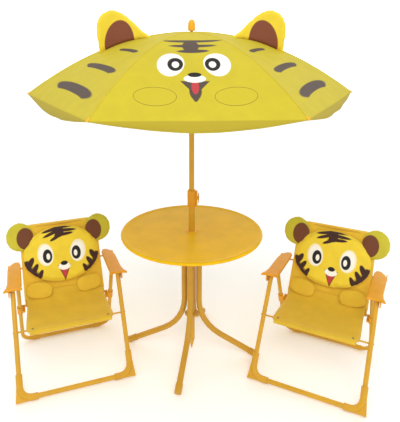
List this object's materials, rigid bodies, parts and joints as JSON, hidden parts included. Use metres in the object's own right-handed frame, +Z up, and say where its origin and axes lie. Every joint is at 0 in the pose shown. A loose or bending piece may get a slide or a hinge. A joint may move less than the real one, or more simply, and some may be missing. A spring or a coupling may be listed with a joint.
{
  "type": "kids table and chairs",
  "caption": "Round children's table with a telescoping folding umbrella through its centre and two folding armchairs with padded animal-head backs.",
  "frame": {"origin": "on the floor, under the middle of the set; the axis of the umbrella pole is at x = -0.0105", "axes": "+X to the right between the two chairs, +Y to the back, +Z up the pole"},
  "size_m": [1.4129, 0.951, 1.247],
  "materials": {
    "tube_enamel": "satin yellow enamel on steel tube",
    "rib_enamel": "thin satin paint on steel wire",
    "tabletop_enamel": "smooth satin enamel",
    "moulded_plastic": "moulded satin",
    "dark_plastic": "moulded satin",
    "seat_fabric": "plain weave",
    "padded_fabric": "plain weave, printed",
    "canopy_fabric": "plain weave, printed"
  },
  "bodies": {
    "table": {"table_top": "tabletop_enamel", "pole_grommet": "moulded_plastic", "top_plate": "tube_enamel", "hub_ring": "dark_plastic", "table_leg_front": "tube_enamel", "table_leg_right": "tube_enamel", "table_leg_rear": "tube_enamel", "table_leg_left": "tube_enamel", "lower_pole": "tube_enamel", "pole_collar": "moulded_plastic"},
    "clamp_screw": {"thumb_screw": "moulded_plastic"},
    "mast": {"upper_pole": "tube_enamel", "crown": "moulded_plastic", "finial": "moulded_plastic", "canopy": "canopy_fabric"},
    "runner": {"runner": "dark_plastic"},
    "rib_1": {"rib_1": "rib_enamel"},
    "stay_1": {"stretcher_1": "rib_enamel"},
    "rib_2": {"rib_2": "rib_enamel", "canopy_ear_right": "canopy_fabric"},
    "stay_2": {"stretcher_2": "rib_enamel"},
    "rib_3": {"rib_3": "rib_enamel"},
    "stay_3": {"stretcher_3": "rib_enamel"},
    "rib_4": {"rib_4": "rib_enamel"},
    "stay_4": {"stretcher_4": "rib_enamel"},
    "rib_5": {"rib_5": "rib_enamel", "canopy_ear_left": "canopy_fabric"},
    "stay_5": {"stretcher_5": "rib_enamel"},
    "rib_6": {"rib_6": "rib_enamel"},
    "stay_6": {"stretcher_6": "rib_enamel"},
    "left_chair_base": {"left_chair_front_frame": "tube_enamel", "left_chair_front_foot_left": "dark_plastic", "left_chair_front_foot_right": "dark_plastic"},
    "left_chair_seat": {"left_chair_seat_frame": "tube_enamel", "left_chair_seat_fabric": "seat_fabric"},
    "left_chair_back": {"left_chair_back_frame": "tube_enamel", "left_chair_back_fabric": "seat_fabric", "left_chair_head_cushion": "padded_fabric", "left_chair_paw_left": "padded_fabric", "left_chair_paw_right": "padded_fabric"},
    "left_chair_arms": {"left_chair_armrest_left": "moulded_plastic", "left_chair_armrest_right": "moulded_plastic"},
    "left_chair_rear": {"left_chair_rear_frame": "tube_enamel", "left_chair_knuckle_left": "moulded_plastic", "left_chair_knuckle_right": "moulded_plastic"},
    "right_chair_base": {"right_chair_front_frame": "tube_enamel", "right_chair_front_foot_left": "dark_plastic", "right_chair_front_foot_right": "dark_plastic"},
    "right_chair_seat": {"right_chair_seat_frame": "tube_enamel", "right_chair_seat_fabric": "seat_fabric"},
    "right_chair_back": {"right_chair_back_frame": "tube_enamel", "right_chair_back_fabric": "seat_fabric", "right_chair_head_cushion": "padded_fabric", "right_chair_paw_left": "padded_fabric", "right_chair_paw_right": "padded_fabric"},
    "right_chair_arms": {"right_chair_armrest_left": "moulded_plastic", "right_chair_armrest_right": "moulded_plastic"},
    "right_chair_rear": {"right_chair_rear_frame": "tube_enamel", "right_chair_knuckle_left": "moulded_plastic", "right_chair_knuckle_right": "moulded_plastic"}
  },
  "joints": [
    {"name": "mast_slide", "type": "slide", "parent": "table", "child": "mast", "axis": [0, 0, 1], "range_m": [-0.14, 0.08]},
    {"name": "clamp_screw_turn", "type": "hinge", "parent": "table", "child": "clamp_screw", "pos_m": [0.0105, 0, 0.603], "axis": [1, 0, 0], "range_deg": [0, 360]},
    {"name": "rib_1_fold", "type": "hinge", "parent": "mast", "child": "rib_1", "pos_m": [0.00126, -0.0186, 1.16], "axis": [0.8453, 0.5344, 0], "range_deg": [0, 66], "deforming": ["canopy"]},
    {"name": "stay_1_fold", "type": "hinge", "parent": "rib_1", "child": "stay_1", "pos_m": [0.09904, -0.17328, 1.13], "axis": [0.8453, 0.5344, 0], "range_deg": [-132, 0]},
    {"name": "rib_2_fold", "type": "hinge", "parent": "mast", "child": "rib_2", "pos_m": [0.01148, 0.00088, 1.16], "axis": [-0.0401, 0.9992, 0], "range_deg": [0, 66]},
    {"name": "stay_2_fold", "type": "hinge", "parent": "rib_2", "child": "stay_2", "pos_m": [0.19434, 0.00823, 1.13], "axis": [-0.0401, 0.9992, 0], "range_deg": [-132, 0]},
    {"name": "rib_3_fold", "type": "hinge", "parent": "mast", "child": "rib_3", "pos_m": [-0.00027, 0.01948, 1.16], "axis": [-0.8854, 0.4648, 0], "range_deg": [0, 66]},
    {"name": "stay_3_fold", "type": "hinge", "parent": "rib_3", "child": "stay_3", "pos_m": [0.08479, 0.18151, 1.13], "axis": [-0.8854, 0.4648, 0], "range_deg": [-132, 0]},
    {"name": "rib_4_fold", "type": "hinge", "parent": "mast", "child": "rib_4", "pos_m": [-0.02226, 0.0186, 1.16], "axis": [-0.8453, -0.5344, 0], "range_deg": [0, 66]},
    {"name": "stay_4_fold", "type": "hinge", "parent": "rib_4", "child": "stay_4", "pos_m": [-0.12004, 0.17328, 1.13], "axis": [-0.8453, -0.5344, 0], "range_deg": [-132, 0]},
    {"name": "rib_5_fold", "type": "hinge", "parent": "mast", "child": "rib_5", "pos_m": [-0.03248, -0.00088, 1.16], "axis": [0.0401, -0.9992, 0], "range_deg": [0, 66]},
    {"name": "stay_5_fold", "type": "hinge", "parent": "rib_5", "child": "stay_5", "pos_m": [-0.21533, -0.00823, 1.13], "axis": [0.0401, -0.9992, 0], "range_deg": [-132, 0]},
    {"name": "rib_6_fold", "type": "hinge", "parent": "mast", "child": "rib_6", "pos_m": [-0.02073, -0.01948, 1.16], "axis": [0.8854, -0.4648, 0], "range_deg": [0, 66]},
    {"name": "stay_6_fold", "type": "hinge", "parent": "rib_6", "child": "stay_6", "pos_m": [-0.10579, -0.18151, 1.13], "axis": [0.8854, -0.4648, 0], "range_deg": [-132, 0]},
    {"name": "runner_slide", "type": "slide", "parent": "mast", "child": "runner", "axis": [0, 0, 1], "range_m": [-0.2993, 0]},
    {"name": "left_chair_pull_out", "type": "slide", "parent": "table", "child": "left_chair_base", "axis": [-1, 0, 0], "range_m": [0, 0.25]},
    {"name": "left_chair_fold", "type": "hinge", "parent": "left_chair_base", "child": "left_chair_seat", "pos_m": [-0.43018, -0.10657, 0.185], "axis": [0.9397, 0.342, 0], "range_deg": [0, 58.5]},
    {"name": "left_chair_back_turn", "type": "hinge", "parent": "left_chair_seat", "child": "left_chair_back", "pos_m": [-0.48593, 0.0466, 0.185], "axis": [0.9397, 0.342, 0], "range_deg": [-58.5, 0]},
    {"name": "left_chair_arms_turn", "type": "hinge", "parent": "left_chair_base", "child": "left_chair_arms", "pos_m": [-0.45378, -0.04174, 0.3], "axis": [0.9397, 0.342, 0], "range_deg": [0, 58.5]},
    {"name": "left_chair_rear_turn", "type": "hinge", "parent": "left_chair_arms", "child": "left_chair_rear", "pos_m": [-0.46301, -0.01636, 0.3], "axis": [0.9397, 0.342, 0], "range_deg": [-108.4, 0]},
    {"name": "right_chair_pull_out", "type": "slide", "parent": "table", "child": "right_chair_base", "axis": [1, 0, 0], "range_m": [0, 0.25]},
    {"name": "right_chair_fold", "type": "hinge", "parent": "right_chair_base", "child": "right_chair_seat", "pos_m": [0.40952, -0.14379, 0.185], "axis": [0.8918, -0.4524, 0], "range_deg": [0, 58.5]},
    {"name": "right_chair_back_turn", "type": "hinge", "parent": "right_chair_seat", "child": "right_chair_back", "pos_m": [0.48326, 0.00157, 0.185], "axis": [0.8918, -0.4524, 0], "range_deg": [-58.5, 0]},
    {"name": "right_chair_arms_turn", "type": "hinge", "parent": "right_chair_base", "child": "right_chair_arms", "pos_m": [0.44073, -0.08226, 0.3], "axis": [0.8918, -0.4524, 0], "range_deg": [0, 58.5]},
    {"name": "right_chair_rear_turn", "type": "hinge", "parent": "right_chair_arms", "child": "right_chair_rear", "pos_m": [0.45295, -0.05818, 0.3], "axis": [0.8918, -0.4524, 0], "range_deg": [-108.4, 0]}
  ],
  "couplings": [
    {"joint": "stay_1_fold", "follows": "rib_1_fold", "ratio": -2},
    {"joint": "rib_2_fold", "follows": "rib_1_fold", "ratio": 1},
    {"joint": "stay_2_fold", "follows": "rib_1_fold", "ratio": -2},
    {"joint": "rib_3_fold", "follows": "rib_1_fold", "ratio": 1},
    {"joint": "stay_3_fold", "follows": "rib_1_fold", "ratio": -2},
    {"joint": "rib_4_fold", "follows": "rib_1_fold", "ratio": 1},
    {"joint": "stay_4_fold", "follows": "rib_1_fold", "ratio": -2},
    {"joint": "rib_5_fold", "follows": "rib_1_fold", "ratio": 1},
    {"joint": "stay_5_fold", "follows": "rib_1_fold", "ratio": -2},
    {"joint": "rib_6_fold", "follows": "rib_1_fold", "ratio": 1},
    {"joint": "stay_6_fold", "follows": "rib_1_fold", "ratio": -2},
    {"joint": "runner_slide", "follows": "rib_1_fold", "m_per_rad": -0.25939},
    {"joint": "left_chair_back_turn", "follows": "left_chair_fold", "ratio": -1},
    {"joint": "left_chair_arms_turn", "follows": "left_chair_fold", "ratio": 1},
    {"joint": "left_chair_rear_turn", "follows": "left_chair_fold", "ratio": -1.853},
    {"joint": "right_chair_back_turn", "follows": "right_chair_fold", "ratio": -1},
    {"joint": "right_chair_arms_turn", "follows": "right_chair_fold", "ratio": 1},
    {"joint": "right_chair_rear_turn", "follows": "right_chair_fold", "ratio": -1.853}
  ]
}
